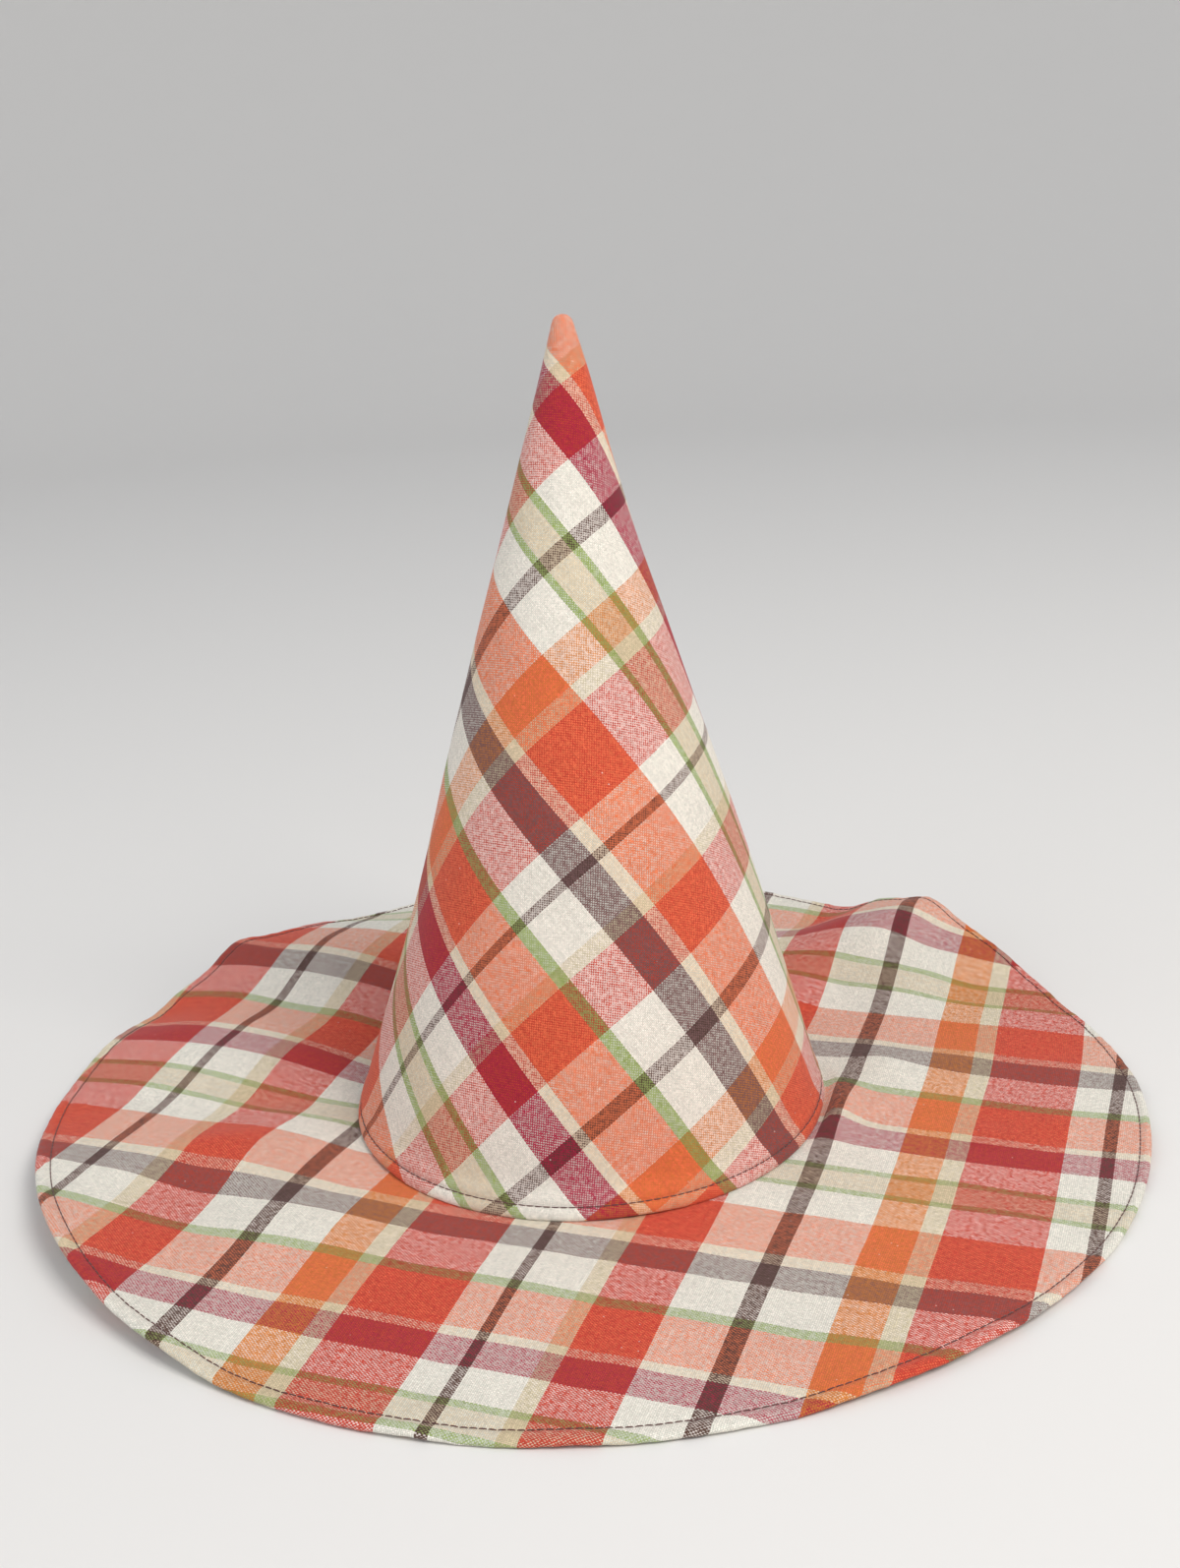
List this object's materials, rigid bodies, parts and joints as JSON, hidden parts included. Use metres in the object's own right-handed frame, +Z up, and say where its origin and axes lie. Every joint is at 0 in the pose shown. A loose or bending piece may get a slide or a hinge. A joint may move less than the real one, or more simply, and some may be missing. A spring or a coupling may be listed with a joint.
{
  "type": "floppy witch hat",
  "caption": "Pointed cloth witch hat: a stiff hollow cone crown stitched to a wide, softly waved double-layer brim, resting on its brim.",
  "frame": {"origin": "on the ground, under the middle of the head opening and of the whole hat's outline", "axes": "+Z up along the crown, -Y towards the hat's front, +X to the right as seen from the front"},
  "size_m": [0.438, 0.43, 0.3105],
  "materials": {
    "crown_check": "brushed cotton twill in a woven check, cut on the bias",
    "brim_check": "brushed cotton twill in a woven check, cut on the straight grain",
    "brim_under_check": "brushed cotton twill in a woven check, underside layer"
  },
  "bodies": {
    "root": {"crown": "crown_check", "brim_upper": "brim_check", "brim_under": "brim_under_check"}
  },
  "joints": []
}
